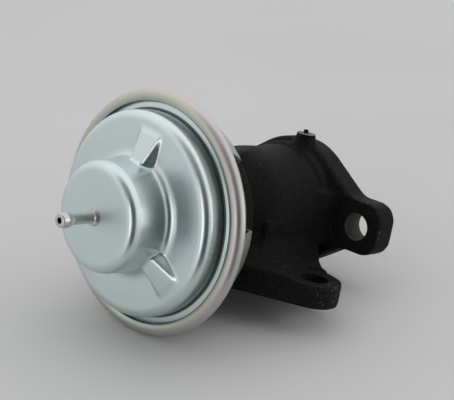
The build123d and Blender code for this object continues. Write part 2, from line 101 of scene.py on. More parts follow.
# Nipple: its outline (radius, station) round the stem, less the rounded front of the bead
NIPPLE_TIP = 109.3
NIPPLE_TIP_RADIUS = 2.15
BEAD_ROUND = 0.5
NIPPLE_LINE = (
    (0.95, 96.1),
    (0.95, NIPPLE_TIP),
    (2.3, 107.6),
    (2.3, 106.9),
    (2.1, 105.9),
    (1.75, 105.2),
    (1.66, 104.6),
    (1.66, 98.0),
    (1.72, 97.7),
    (2.25, 97.6),
    (2.4, 97.4),
    (2.4, 96.9),
    (2.6, 96.65),
    (2.6, 96.1),
)

# Return spring: the coil's radius, wire and turns, and the stations of its ends
SPRING_RADIUS = 12.0
WIRE_RADIUS = 1.0
SPRING_TURNS = 6.0
SPRING_BACK = 69.6
SPRING_FRONT = 94.5

# Casting: its joint faces, spot faces, bores and boss, as machined
BODY_LENGTH = 59.5
LOWER_FACE_DROP = 20.7
LOWER_PORT_STATION = 33.0
LOWER_PORT_RADIUS = 13.0
LOWER_PORT_TOP_DROP = 9.5
LUG_PITCH = 72.0
LUG_THICKNESS = 7.2
EAR_PITCH = 62.0
EAR_THICKNESS = 8.3
SPOTFACE_RADIUS = 10.2
LUG_SPOTFACE_RADIUS = 9.5
BOLT_HOLE_RADIUS = 4.5
REAR_PORT_RADIUS = 15.5
SEAT_FRONT = 16.0
GUIDE_RADIUS = 7.5
GUIDE_DEPTH = 18.0
BOSS_TOP = 24.85
MACHINED_REACH = 0.45

# Finishes: where the rim's tints run and where ears and lugs are worn
TINT_INNER_RADIUS = 33.5
TINT_OUTER_RADIUS = 38.1
WEAR_START = 36.0
WEAR_END = 44.0


# ---------------------------------------------------------------- meshes
def grid_piece(name, points, close_rows=False, close_columns=False):
    """A piece over the grid points[row, column], in millimetres; close_ joins last to first."""
    rows, columns = points.shape[:2]
    number = np.arange(rows * columns).reshape(rows, columns)
    if close_rows:
        number = np.vstack([number, number[:1]])
    if close_columns:
        number = np.hstack([number, number[:, :1]])
    quads = np.stack([number[:-1, :-1], number[1:, :-1], number[1:, 1:], number[:-1, 1:]], -1)
    mesh = bpy.data.meshes.new(name)
    mesh.from_pydata(points.reshape(-1, 3) * MM, [], quads.reshape(-1, 4))
    mesh.polygons.foreach_set("use_smooth", np.ones(len(mesh.polygons), bool))
    piece = bpy.data.objects.new(name, mesh)
    bpy.context.collection.objects.link(piece)
    return piece


def joined_copy(node, angle=30.0):
    """The node's own mesh, corners joined and smooth except across edges sharper than angle."""
    mesh = frame["nodes"][node].data.copy()
    work = bmesh.new()
    work.from_mesh(mesh)
    bmesh.ops.remove_doubles(work, verts=work.verts, dist=2e-6)
    work.to_mesh(mesh)
    work.free()
    mesh.polygons.foreach_set("use_smooth", np.ones(len(mesh.polygons), bool))
    mesh.set_sharp_from_angle(angle=np.radians(angle))
    piece = bpy.data.objects.new(node + "_finished", mesh)
    bpy.context.collection.objects.link(piece)
    even = piece.modifiers.new("even shading", "WEIGHTED_NORMAL")
    even.keep_sharp = True
    return piece


# ---------------------------------------------------------------- materials
class Paint:
    """A material built up node by node around one Principled shader."""

    def __init__(self, name, **sockets):
        self.material = bpy.data.materials.new(name)
        self.material.use_nodes = True
        self.tree = self.material.node_tree
        self.shader = self.tree.nodes["Principled BSDF"]
        for socket, value in sockets.items():
            self.shader.inputs[socket.replace("_", " ")].default_value = value
        self.place = self.add("ShaderNodeTexCoord").outputs["Object"]

    def add(self, kind, inputs=None, **settings):
        node = self.tree.nodes.new(kind)
        for key, value in settings.items():
            setattr(node, key, value)
        for key, value in (inputs or {}).items():
            self.give(node.inputs[key], value)
        return node

    def give(self, socket, value):
        if isinstance(value, bpy.types.NodeSocket):
            self.tree.links.new(value, socket)
        else:
            socket.default_value = value

    def stretched(self, scale):
        """Object coordinates stretched by scale along each axis."""
        mapped = self.add("ShaderNodeMapping", {"Vector": self.place, "Scale": scale})
        return mapped.outputs["Vector"]

    def noise(self, size, detail=4.0, rough=0.5, place=None, distortion=0.0):
        """A noise whose features are about size metres across, from 0 to 1."""
        return self.add(
            "ShaderNodeTexNoise",
            {
                "Vector": place or self.place,
                "Scale": 1.0 / size,
                "Detail": detail,
                "Roughness": rough,
                "Distortion": distortion,
            },
        ).outputs["Fac"]

    def spread(self, value, low, high, to_low=0.0, to_high=1.0):
        """value from low..high taken to to_low..to_high, and held at the ends."""
        ends = {"From Min": low, "From Max": high, "To Min": to_low, "To Max": to_high}
        return self.add("ShaderNodeMapRange", {"Value": value, **ends}).outputs["Result"]

    def math(self, operation, a, b=0.0, c=0.0):
        return self.add("ShaderNodeMath", {0: a, 1: b, 2: c}, operation=operation).outputs[0]

    def parts(self):
        """The X, Y and Z of the object coordinates."""
        return self.add("ShaderNodeSeparateXYZ", {"Vector": self.place}).outputs

    def length(self, a, b):
        """The root of a squared plus b squared."""
        total = self.math("ADD", self.math("POWER", a, 2.0), self.math("POWER", b, 2.0))
        return self.math("SQRT", total)

    def between(self, fac, a, b):
        """Colour a where fac is 0, colour b where it is 1."""
        mix = self.add("ShaderNodeMix", data_type="RGBA")
        self.give(mix.inputs[0], fac)
        self.give(mix.inputs[6], a)
        self.give(mix.inputs[7], b)
        return mix.outputs[2]

    def ramp(self, fac, stops):
        """A colour band: stops are (place, colour) from 0 to 1."""
        node = self.add("ShaderNodeValToRGB", {"Fac": fac})
        band = node.color_ramp.elements
        band[0].position, band[0].color = stops[0]
        band[1].position, band[1].color = stops[-1]
        for where, colour in stops[1:-1]:
            band.new(where).color = colour
        return node.outputs["Color"]

    def bump(self, height, distance, strength=1.0, under=None):
        dent = {"Height": height, "Distance": distance, "Strength": strength}
        node = self.add("ShaderNodeBump", dent)
        if under is not None:
            self.give(node.inputs["Normal"], under)
        return node.outputs["Normal"]

    def to(self, socket, value):
        self.give(self.shader.inputs[socket], value)


def rgb(r, g, b):
    return (r, g, b, 1.0)


def scaled(colour, factor, lift=0.0):
    """The colour with each part times factor, plus lift."""
    return tuple(factor * part + lift for part in colour[:3]) + (1.0,)


def zinc_sheet(name, cool, warm, dull):
    """Bright pressed sheet: cloudy tint, satin gloss, a matt cup face and painted shade in the rim
    groove.
    """
    paint = Paint(name, Metallic=1.0)
    cloud = paint.noise(0.011, 3.0, 0.55, distortion=0.4)
    fleck = paint.noise(0.0009, 2.0, 0.5)
    tint = paint.between(paint.spread(cloud, 0.3, 0.7), cool, warm)
    tint = paint.between(paint.spread(fleck, 0.62, 0.78, 0.0, 0.05), tint, rgb(0.3, 0.32, 0.33))
    radius = radius_from_stem(paint)
    # painted shade: a dark band round the dome's foot, deep in the groove behind the rim
    corner = (DOME_RADIUS + FOOT_RADIUS) * MM
    off_groove_shade = paint.math("ABSOLUTE", paint.math("SUBTRACT", radius, corner))
    behind = -RIM_STATION * MM
    deep = paint.spread(paint.parts()["Y"], behind - 0.2 * MM, behind + 0.5 * MM)
    groove_shade = paint.math("MULTIPLY", paint.spread(off_groove_shade, 0.5 * MM, 0.2 * MM), deep)
    paint.to("Base Color", paint.between(groove_shade, tint, rgb(0.10, 0.11, 0.11)))
    satin = paint.spread(cloud, 0.3, 0.7, dull, dull + 0.06)
    flat_edge = CUP_FACE_RADIUS - CUP_CORNER_RADIUS
    struck = paint.spread(radius, (flat_edge + 0.8) * MM, (flat_edge - 1.0) * MM, 0.0, 0.17)
    paint.to("Roughness", paint.math("ADD", satin, struck))
    drawn = paint.noise(0.004, 2.0, 0.5)
    grain = paint.noise(0.00028, 2.0, 0.5)
    low = paint.bump(drawn, 0.000012, 0.5)
    paint.to("Normal", paint.bump(grain, 0.0000025, 0.5, low))
    return paint.material


def radius_from_stem(paint):
    """Distance from the stem axis, in metres."""
    parts = paint.parts()
    return paint.length(parts["X"], parts["Z"])


def passivated_rim():
    """Zinc with a thin passivate: straw, rose and pale green in soft bands across the rim."""
    paint = Paint("passivated_zinc", Metallic=1.0)
    wander = paint.noise(0.02, 2.0, 0.5)
    band = paint.spread(radius_from_stem(paint), TINT_INNER_RADIUS * MM, TINT_OUTER_RADIUS * MM)
    side = paint.spread(paint.parts()["X"], 5.0 * MM, 33.0 * MM, -0.3, 0.0)
    shift = paint.math("ADD", paint.math("MULTIPLY_ADD", wander, 0.55, band), side)
    colours = paint.ramp(
        paint.spread(shift, 0.1, 1.5),
        [
            (0.0, rgb(0.46, 0.50, 0.485)),
            (0.22, rgb(0.53, 0.53, 0.47)),
            (0.46, rgb(0.55, 0.545, 0.475)),
            (0.60, rgb(0.575, 0.51, 0.525)),
            (0.72, rgb(0.52, 0.495, 0.52)),
            (0.84, rgb(0.52, 0.53, 0.475)),
            (1.0, rgb(0.55, 0.53, 0.455)),
        ],
    )
    paint.to("Base Color", colours)
    cloud = paint.noise(0.006, 3.0, 0.5)
    paint.to("Roughness", paint.spread(cloud, 0.3, 0.7, 0.36, 0.44))
    paint.to("Normal", paint.bump(paint.noise(0.0012, 3.0, 0.5), 0.00001, 0.5))
    return paint.material


def cast_iron(name, dark, light, rough=0.62):
    """Blackened casting: sand grain, low swells, worn specks, reamed ear holes, a faced boss."""
    paint = Paint(name)
    paint.shader.inputs["Specular IOR Level"].default_value = 0.08
    sand = paint.noise(0.0006, 4.0, 0.65)
    swell = paint.noise(0.006, 3.0, 0.5)
    speck = paint.noise(0.0011, 3.0, 0.65)
    tone = paint.between(paint.spread(swell, 0.3, 0.7), dark, light)
    tone = paint.between(paint.spread(sand, 0.42, 0.72), tone, scaled(light, 2.4))
    parts = paint.parts()
    out = paint.math("ABSOLUTE", parts["X"])
    worn = paint.spread(out, WEAR_START * MM, WEAR_END * MM, 0.0, 0.09)
    chip = paint.spread(paint.math("ADD", speck, worn), 0.66, 0.76, 0.0, 0.7)
    tone = paint.between(chip, tone, rgb(0.11, 0.108, 0.10))
    from_hole = paint.length(paint.math("SUBTRACT", out, EAR_PITCH / 2 * MM), parts["Z"])
    hole = BOLT_HOLE_RADIUS * MM
    reamed = paint.spread(from_hole, hole + 0.15 * MM, hole + 0.02 * MM)
    tone = paint.between(reamed, tone, rgb(0.085, 0.083, 0.07))
    from_top = paint.math("ABSOLUTE", paint.math("SUBTRACT", parts["Z"], BOSS_TOP * MM))
    faced = paint.spread(from_top, 0.12 * MM, 0.05 * MM)
    tone = paint.between(faced, tone, rgb(0.19, 0.19, 0.18))
    paint.to("Base Color", tone)
    paint.to("Roughness", paint.spread(swell, 0.3, 0.7, rough - 0.06, rough + 0.06))
    low = paint.bump(swell, 0.0002, 0.5)
    paint.to("Normal", paint.bump(sand, 0.0004, 0.9, low))
    return paint.material


def turned_metal(name, colour, dull, marks=0.0004):
    """Machined metal with fine turning marks across it and a slight tarnish."""
    paint = Paint(name, Metallic=1.0)
    tarnish = paint.noise(0.003, 3.0, 0.55)
    tint = paint.between(paint.spread(tarnish, 0.3, 0.75), colour, scaled(colour, 0.72))
    paint.to("Base Color", tint)
    paint.to("Roughness", paint.spread(tarnish, 0.3, 0.7, dull, dull + 0.1))
    marked = paint.noise(marks, 2.0, 0.5, paint.stretched((1.0, 6.0, 1.0)))
    paint.to("Normal", paint.bump(marked, 0.000008, 0.6))
    return paint.material


def soft_fabric(name, colour, rough, grain):
    """Rubber, gasket or packing: matt, finely mottled."""
    paint = Paint(name)
    mottle = paint.noise(grain * 4, 3.0, 0.6)
    fine = paint.noise(grain, 2.0, 0.5)
    tint = paint.between(paint.spread(mottle, 0.3, 0.75), colour, scaled(colour, 1.6, 0.01))
    paint.to("Base Color", tint)
    paint.to("Roughness", paint.spread(fine, 0.3, 0.7, rough - 0.05, rough + 0.05))
    paint.to("Normal", paint.bump(fine, grain * 0.1, 0.5))
    return paint.material


FINISHES = {
    "zinc_plate": zinc_sheet("zinc_plate", rgb(0.62, 0.705, 0.715), rgb(0.67, 0.735, 0.735), 0.27),
    "passivated_zinc": passivated_rim(),
    "nickel": turned_metal("nickel", rgb(0.66, 0.66, 0.63), 0.2),
    "rubber": soft_fabric("rubber", rgb(0.02, 0.02, 0.02), 0.7, 0.0006),
    "plain_steel": turned_metal("plain_steel", rgb(0.45, 0.46, 0.47), 0.32),
    "spring_steel": turned_metal("spring_steel", rgb(0.36, 0.36, 0.38), 0.3),
    "bush_iron": turned_metal("bush_iron", rgb(0.22, 0.21, 0.20), 0.45),
    "graphite": soft_fabric("graphite", rgb(0.04, 0.04, 0.045), 0.5, 0.0004),
    "insulation": soft_fabric("insulation", rgb(0.28, 0.24, 0.19), 0.8, 0.0008),
    "black_iron": cast_iron("black_iron", rgb(0.003, 0.003, 0.003), rgb(0.0088, 0.0086, 0.0082)),
    "seat_steel": turned_metal("seat_steel", rgb(0.34, 0.33, 0.32), 0.35),
}


# ---------------------------------------------------------------- front shell of the can
def soft_max(a, b, blend):
    """The larger of a and b, with a fillet of width blend where they meet."""
    h = np.clip(0.5 + 0.5 * (a - b) / blend, 0.0, 1.0)
    return b + (a - b) * h + blend * h * (1.0 - h)


def soft_min(a, b, blend):
    """The smaller of a and b, with a rounded edge of width blend where they meet."""
    return -soft_max(-a, -b, blend)


def arc(centre, radius, start, end, count):
    """Points (radius, station) on an arc, angles in degrees from the radial direction."""
    angle = np.radians(np.linspace(start, end, count))
    return np.stack([centre[0] + radius * np.cos(angle), centre[1] + radius * np.sin(angle)], -1)


def corner_band(angle, count):
    """The cup wall, its foot and the flat round it, with the three wedge ribs, for every angle.

    Each point is found along the diagonal d = (outward, forward)/sqrt 2. With a the distance
    across that diagonal, the wall, the flat, the rib's sloping back and its sloping sides are each
    a height b(a) along it; the outline is soft_max(wall, flat, soft_min(back, sides)).
    """
    root = np.sqrt(2.0)
    slope = (CUP_BASE_RADIUS - CUP_FACE_RADIUS) / (CUP_HEIGHT - DOME_HEIGHT)
    top_height = CUP_HEIGHT - CUP_CORNER_RADIUS
    top_radius = CUP_BASE_RADIUS - slope * (top_height - DOME_HEIGHT)
    flat_end = DOME_RADIUS - SHOULDER_RADIUS
    a = np.linspace((top_radius - top_height) / root, (flat_end - DOME_HEIGHT) / root, count)
    a = a[:, None] + 0.0 * angle[None, :]
    # wall: radius = base - slope (height - dome); flat: height = dome
    wall = (2.0 * CUP_BASE_RADIUS + 2.0 * slope * DOME_HEIGHT + (slope - 1.0) * root * a) / (
        root * (1.0 + slope)
    )
    flat = a + root * DOME_HEIGHT
    # rib back: a line from the wall at the rib's height to its end on the flat
    run = RIB_END_RADIUS - CUP_BASE_RADIUS
    fall = (RIB_HEIGHT - DOME_HEIGHT) / run
    back = (root * (RIB_END_RADIUS * fall + DOME_HEIGHT) + (1.0 - fall) * a) / (1.0 + fall)
    plain = soft_max(wall, flat, CUP_FOOT_BLEND)
    b = np.maximum(plain, back)
    ribs = np.radians(np.array(RIB_ANGLES))
    turn = (angle[:, None] - ribs[None, :] + np.pi) % (2.0 * np.pi) - np.pi
    nearest = turn[np.arange(len(angle)), np.abs(turn).argmin(1)][None, :]
    for _ in range(4):
        # points more than 1.2 radians from a rib's middle are put well off it
        across = np.abs((a + b) / root * np.sin(nearest)) + 30.0 * (np.abs(nearest) > 1.2)
        steep = (0.5 * RIB_WIDTH - across) / np.tan(np.radians(RIB_SIDE_SLOPE))
        sides = a + root * (DOME_HEIGHT - 0.5 * SHEET + steep)
        rib = soft_min(back, sides, RIB_TOP_BLEND)
        inward = np.clip((flat_end - (a + b) / root) / RIB_END_FADE, 0.0, 1.0)
        raised = soft_max(plain, rib, RIB_FOOT_BLEND) - plain
        b = plain + raised * inward**2 * (3.0 - 2.0 * inward)
    return np.stack([(a + b) / root, (b - a) / root], -1)


def front_shell_skin(name, around=432):
    """The drawn front shell: a closed profile round the stem, point = (r cos t, -s, r sin t).

    Going out: bore edge, cup face, rounded corner, wall with ribs, shoulder, side and flange; then
    back along the inside, one sheet thickness in.
    """
    angle = np.linspace(0.0, 2.0 * np.pi, around, endpoint=False)
    ones = np.ones(around)
    face = CUP_HEIGHT
    bore = STEM_BORE_RADIUS
    corner_centre = (CUP_FACE_RADIUS - CUP_CORNER_RADIUS, face - CUP_CORNER_RADIUS)
    cup_face = np.stack([np.linspace(bore, corner_centre[0], 10), np.full(10, face)], -1)
    corner = arc(corner_centre, CUP_CORNER_RADIUS, 90.0, 3.0, 14)[1:]
    turn_in = (DOME_RADIUS - SHOULDER_RADIUS, DOME_HEIGHT - SHOULDER_RADIUS)
    shoulder = arc(turn_in, SHOULDER_RADIUS, 90.0, 0.0, 14)
    groove = GROOVE_STATION - RIM_STATION
    foot = arc((DOME_RADIUS + FOOT_RADIUS, groove + FOOT_RADIUS), FOOT_RADIUS, 180.0, 270.0, 5)
    # the small step at the clamped edge keeps the flange's shading flat
    flange = np.array(
        [
            [CLAMP_RADIUS - 0.1, groove],
            [CLAMP_RADIUS, groove - 0.1],
            [CLAMP_RADIUS, -2.0 * SHEET],
        ]
    )
    band = corner_band(angle, 96)
    inner = np.array(
        [
            [DOME_RADIUS - SHEET, -2.0 * SHEET],
            [DOME_RADIUS - SHEET, DOME_HEIGHT - SHOULDER_RADIUS],
            [DOME_RADIUS - SHOULDER_RADIUS, DOME_HEIGHT - SHEET],
            [CUP_BASE_RADIUS + 0.5, DOME_HEIGHT - SHEET],
            [CUP_BASE_RADIUS - SHEET, DOME_HEIGHT - SHEET + 0.5],
            [CUP_FACE_RADIUS - SHEET, face - CUP_CORNER_RADIUS],
            [CUP_FACE_RADIUS - CUP_CORNER_RADIUS, face - SHEET],
            [bore, face - SHEET],
        ]
    )
    lines = (cup_face, corner, shoulder, foot, flange, inner)
    plain = [line[:, None, :] * ones[None, :, None] for line in lines]
    outline = np.concatenate([plain[0], plain[1], band[1:-1]] + plain[2:])
    radius, station = outline[..., 0], outline[..., 1] + RIM_STATION
    points = np.stack([radius * np.cos(angle), -station, radius * np.sin(angle)], -1)
    return grid_piece(name, points, close_rows=True, close_columns=True)


def bent_line(corners, bends, count=10):
    """A line through the corners (radius, station), each inner corner turned on its bend radius."""
    line = [corners[:1]]
    for before, corner, after, bend in zip(corners[:-2], corners[1:-1], corners[2:], bends):
        back = (before - corner) / np.linalg.norm(before - corner)
        ahead = (after - corner) / np.linalg.norm(after - corner)
        half = 0.5 * np.arccos(np.clip(back @ ahead, -1.0, 1.0))
        middle = (back + ahead) / np.linalg.norm(back + ahead)
        centre = corner + middle * bend / np.sin(half)
        start = corner + back * bend / np.tan(half) - centre
        end = corner + ahead * bend / np.tan(half) - centre
        part = np.linspace(0.0, 1.0, count)[:, None]
        turn = np.pi - 2.0 * half
        swept = np.sin((1.0 - part) * turn) * start + np.sin(part * turn) * end
        line.append(centre + swept / np.sin(turn))
    line.append(corners[-1:])
    return np.concatenate(line)


def rear_shell_skin(name):
    """The drawn rear shell: its outer line (radius, station) carried round the stem, given a wall.

    Base, cone, ledge, rolled rim and lip are one line; the windows are the faces left out between
    their two sides, from a chord on the base up to their front edge on the cone.
    """
    angle = np.radians(np.arange(0.0, 360.0, 0.5))
    mouth = np.array([PAN_MOUTH_RADIUS, RIM_REAR])
    base = np.array([PAN_BASE_RADIUS, PAN_BACK])
    start = np.array([WINDOW_INNER_RADIUS, PAN_BACK])
    rim = np.array([[RIM_RADIUS, RIM_REAR], [RIM_RADIUS, RIM_STATION - RIM_ROLL]])
    corners = np.stack([start, base, mouth, rim[0], rim[1]])
    line = bent_line(corners, (PAN_BASE_BEND, PAN_MOUTH_BEND, RIM_REAR_BEND))
    window_top = base + (mouth - base) * (WINDOW_FRONT - PAN_BACK) / (RIM_REAR - PAN_BACK)
    place = int((line[:, 1] < WINDOW_FRONT).sum())
    line = np.insert(line, place, window_top, 0)
    crest = RIM_RADIUS - RIM_ROLL
    roll = arc((crest, RIM_STATION - RIM_ROLL), RIM_ROLL, 0.0, 90.0, 25)[1:]
    # the lip falls LIP_DROP from the crest to LIP_RADIUS on an arc that leaves the roll level
    run = crest - LIP_RADIUS
    curl = (run**2 + LIP_DROP**2) / (2.0 * LIP_DROP)
    tip = 90.0 + np.degrees(np.arcsin(run / curl))
    lip = arc((crest, RIM_STATION - curl), curl, 90.0, tip, 8)[1:]
    outline = np.concatenate([line, roll, lip])[:, None, :] + np.zeros((1, len(angle), 1))
    windows = np.radians(np.array(WINDOW_ANGLES))
    half = np.radians(WINDOW_HALF_ANGLE)
    turn = np.abs((angle[:, None] - windows + np.pi) % (2.0 * np.pi) - np.pi).min(1)
    chord = WINDOW_INNER_RADIUS * np.cos(half) / np.cos(np.minimum(turn, half))
    outline[0, :, 0] = chord
    well = outline[:1].copy()
    well[..., 0] = PAN_WELL_RADIUS
    outline = np.concatenate([well, outline])
    radius, station = outline[..., 0], outline[..., 1]
    points = np.stack([radius * np.cos(angle), -station, radius * np.sin(angle)], -1)
    piece = grid_piece(name, points[:, ::-1], close_columns=True)
    # leave the windows out: quads between the chord (row 1) and the window's front edge
    centre = angle[::-1] - np.radians(0.25)
    off = np.abs((centre[:, None] - windows + np.pi) % (2.0 * np.pi) - np.pi).min(1)
    row = np.arange(len(points) - 1)[:, None]
    gone = (row >= 1) & (row <= place) & (off[None, :] < half)
    work = bmesh.new()
    work.from_mesh(piece.data)
    work.faces.ensure_lookup_table()
    cut = [work.faces[k] for k in np.flatnonzero(gone.ravel())]
    bmesh.ops.delete(work, geom=cut, context="FACES")
    work.to_mesh(piece.data)
    work.free()
    wall = piece.modifiers.new("wall", "SOLIDIFY")
    wall.thickness = SHEET * MM
    wall.offset = -1.0
    return piece


def nipple_skin(name, around=96):
    """The hose nipple: NIPPLE_LINE turned round the stem, point = (r cos t, -s, r sin t)."""
    line = np.array(NIPPLE_LINE)
    bead = arc((NIPPLE_TIP_RADIUS - BEAD_ROUND, NIPPLE_TIP - BEAD_ROUND), BEAD_ROUND, 90.0, 0.0, 8)
    line = np.concatenate([line[:2], bead, line[2:]])
    angle = np.linspace(0.0, 2.0 * np.pi, around, endpoint=False)
    radius, station = line[:, :1], line[:, 1:]
    points = np.stack([radius * np.cos(angle), -station + 0.0 * angle, radius * np.sin(angle)], -1)
    piece = grid_piece(name, points, close_rows=True, close_columns=True)
    piece.data.set_sharp_from_angle(angle=np.radians(35.0))
    return piece


def spring_coil(name, along=480, around=12):
    """The return spring: a round wire section carried along a helix of SPRING_TURNS turns."""
    turn = np.linspace(0.0, 2.0 * np.pi * SPRING_TURNS, along)
    station = np.linspace(SPRING_BACK + WIRE_RADIUS, SPRING_FRONT - WIRE_RADIUS, along)
    out = np.stack([np.sin(turn), np.zeros(along), -np.cos(turn)], -1)
    centre = SPRING_RADIUS * out
    centre[:, 1] = -station
    rise = (station[-1] - station[0]) / turn[-1]
    run = SPRING_RADIUS * np.stack([np.cos(turn), np.zeros(along), np.sin(turn)], -1)
    run[:, 1] = -rise
    run /= np.linalg.norm(run, axis=1)[:, None]
    side = np.cross(run, out)
    angle = np.linspace(0.0, 2.0 * np.pi, around, endpoint=False)[None, :, None]
    section = np.cos(angle) * out[:, None] + np.sin(angle) * side[:, None]
    points = centre[:, None] + WIRE_RADIUS * section
    ends = [np.repeat(centre[k][None, None], around, 1) for k in (0, -1)]
    return grid_piece(name, np.concatenate([ends[0], points, ends[1]]), close_columns=True)


# ---------------------------------------------------------------- casting
def cast_skin(node, name, voxel=0.55, rounds=7):
    """The node's outline as cast: every edge softened, then the machined places put back exactly.

    A voxel shell of the node is relaxed (each vertex moves half way to the mean of its neighbours,
    several times); points on the joint faces, spot faces and bores go back to their own plane or
    radius after each round.
    """
    mesh = frame["nodes"][node].data.copy()
    work = bmesh.new()
    work.from_mesh(mesh)
    bmesh.ops.remove_doubles(work, verts=work.verts, dist=2e-6)
    work.to_mesh(mesh)
    work.free()
    rough = bpy.data.objects.new("rough_" + name, mesh)
    bpy.context.collection.objects.link(rough)
    shell = rough.modifiers.new("voxel shell", "REMESH")
    shell.mode = "VOXEL"
    shell.voxel_size = voxel * MM
    bpy.context.view_layer.update()
    made = rough.evaluated_get(bpy.context.evaluated_depsgraph_get())
    skin = bpy.data.meshes.new_from_object(made)
    bpy.data.objects.remove(rough)
    count = len(skin.vertices)
    at = np.empty(count * 3, np.float32)
    skin.vertices.foreach_get("co", at)
    at = at.reshape(-1, 3).astype(float) / MM
    ends = np.empty(len(skin.edges) * 2, np.int32)
    skin.edges.foreach_get("vertices", ends)
    ends = ends.reshape(-1, 2)
    both = np.concatenate([ends, ends[:, ::-1]])
    order = np.bincount(both[:, 0], minlength=count)
    at, fixed = machined_places(at)
    for _ in range(rounds):
        total = np.stack([np.bincount(both[:, 0], at[both[:, 1], k], count) for k in range(3)], -1)
        mean = total / np.maximum(order, 1)[:, None]
        at += 0.5 * (mean - at)
        at = np.where(fixed[:, None], machined_places(at)[0], at)
    skin.vertices.foreach_set("co", (at * MM).ravel())
    skin.polygons.foreach_set("use_smooth", np.ones(len(skin.polygons), bool))
    skin.set_sharp_from_angle(angle=np.radians(50.0))
    piece = bpy.data.objects.new(name, skin)
    bpy.context.collection.objects.link(piece)
    return piece


def machined_places(at):
    """Where each point of the casting lies when machined, and which points are on such a place."""
    x, station, z = at[:, 0], -at[:, 1], at[:, 2]
    put = at.copy()
    fixed = np.zeros(len(at), bool)
    reach = MACHINED_REACH

    def plane(column, value, near):
        nonlocal fixed
        hit = near & (np.abs(put[:, column] - value) < reach)
        put[hit, column] = value
        fixed |= hit

    def bore(first, second, centre, radius, near):
        nonlocal fixed
        away = np.stack([put[:, first] - centre[0], put[:, second] - centre[1]], -1)
        length = np.maximum(np.hypot(away[:, 0], away[:, 1]), 1e-6)
        hit = near & (np.abs(length - radius) < reach)
        put[hit, first] = centre[0] + (away[:, 0] / length * radius)[hit]
        put[hit, second] = centre[1] + (away[:, 1] / length * radius)[hit]
        fixed |= hit

    everywhere = np.ones(len(at), bool)
    plane(1, 0.0, everywhere)
    plane(2, -LOWER_FACE_DROP, everywhere)
    plane(1, -BODY_LENGTH, everywhere)
    plane(2, BOSS_TOP, everywhere)
    for side in (-1.0, 1.0):
        ear = np.hypot(x - side * EAR_PITCH / 2, z)
        plane(1, -EAR_THICKNESS, ear < SPOTFACE_RADIUS)
        bore(0, 2, (side * EAR_PITCH / 2, 0.0), BOLT_HOLE_RADIUS, station < EAR_THICKNESS + 0.5)
        lug = np.hypot(x - side * LUG_PITCH / 2, station - LOWER_PORT_STATION)
        low = z < LUG_THICKNESS - LOWER_FACE_DROP + 0.5
        plane(2, LUG_THICKNESS - LOWER_FACE_DROP, lug < LUG_SPOTFACE_RADIUS)
        bore(0, 1, (side * LUG_PITCH / 2, -LOWER_PORT_STATION), BOLT_HOLE_RADIUS, low)
    bore(0, 2, (0.0, 0.0), REAR_PORT_RADIUS, station < SEAT_FRONT + 0.5)
    bore(0, 2, (0.0, 0.0), GUIDE_RADIUS, station > BODY_LENGTH - GUIDE_DEPTH)
    bore(0, 1, (0.0, -LOWER_PORT_STATION), LOWER_PORT_RADIUS, z < -LOWER_PORT_TOP_DROP - 3.0)
    return put, fixed


# ---------------------------------------------------------------- pieces
def dress(piece, *nodes):
    """Puts the piece in the place of its nodes, on their body and in their finish."""
    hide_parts(*nodes)
    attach(piece, BODY_OF[nodes[0]])
    piece.data.materials.clear()
    piece.data.materials.append(FINISHES[SLOT_OF[nodes[0]]])
    return piece


record = frame["record"]
BODY_OF = {node: body for body, nodes in record["behaviour"]["bodies"].items() for node in nodes}
SLOT_OF = {entry["node"]: entry["material_slot"] for entry in record["subparts"]}

MODELLED = {
    "front_shell": front_shell_skin("front_shell_skin"),
    "rear_shell": rear_shell_skin("rear_shell_skin"),
    "valve_body": cast_skin("valve_body", "casting_skin"),
    "vacuum_nipple": nipple_skin("nipple_skin"),
    "return_spring": spring_coil("spring_coil"),
}
PIECES = {node: MODELLED.get(node) or joined_copy(node) for node in SLOT_OF}
for node, piece in PIECES.items():
    dress(piece, node)
# the coil gets a mesh of its own
coil = PIECES["return_spring"]
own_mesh(coil)
# the rubber stays on the housing, its bead held in the crimp, and gets a mesh of its own
rubber = PIECES["diaphragm"]
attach(rubber, "housing")
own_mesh(rubber)


# ---------------------------------------------------------------- floor, light and camera
def lay_floor():
    """A pale sheet under the part, touching the rim and the lower flange; seen from above only."""
    touch = np.array([0.0, -72.4, -38.0]) * MM
    run = np.array([0.0, 0.9726, 0.2324])
    right, back = np.array([0.762, 0.648]), np.array([-0.648, 0.762])
    sheet = np.array([[-0.62, -0.075], [0.22, -0.075], [0.22, 0.5], [-0.62, 0.5]])
    across = sheet[:, :1] * right + sheet[:, 1:] * back
    corners = touch + across[:, :1] * np.array([1.0, 0.0, 0.0]) + across[:, 1:] * run
    mesh = bpy.data.meshes.new("floor")
    mesh.from_pydata(corners, [], [(0, 1, 2, 3)])
    floor = bpy.data.objects.new("floor", mesh)
    bpy.context.collection.objects.link(floor)
    paint = Paint("pale_floor", Roughness=0.8)
    paint.shader.inputs["Specular IOR Level"].default_value = 0.2
    cloud = paint.noise(0.15, 2.0, 0.5)
    paint.to("Base Color", paint.between(paint.spread(cloud, 0.3, 0.7), FLOOR_COLOUR, FLOOR_PALER))
    clear = paint.add("ShaderNodeBsdfTransparent").outputs[0]
    under = paint.add("ShaderNodeNewGeometry").outputs["Backfacing"]
    show = paint.add("ShaderNodeMixShader", {0: under, 1: paint.shader.outputs[0], 2: clear})
    end = paint.tree.nodes["Material Output"]
    paint.give(end.inputs["Surface"], show.outputs[0])
    mesh.materials.append(paint.material)


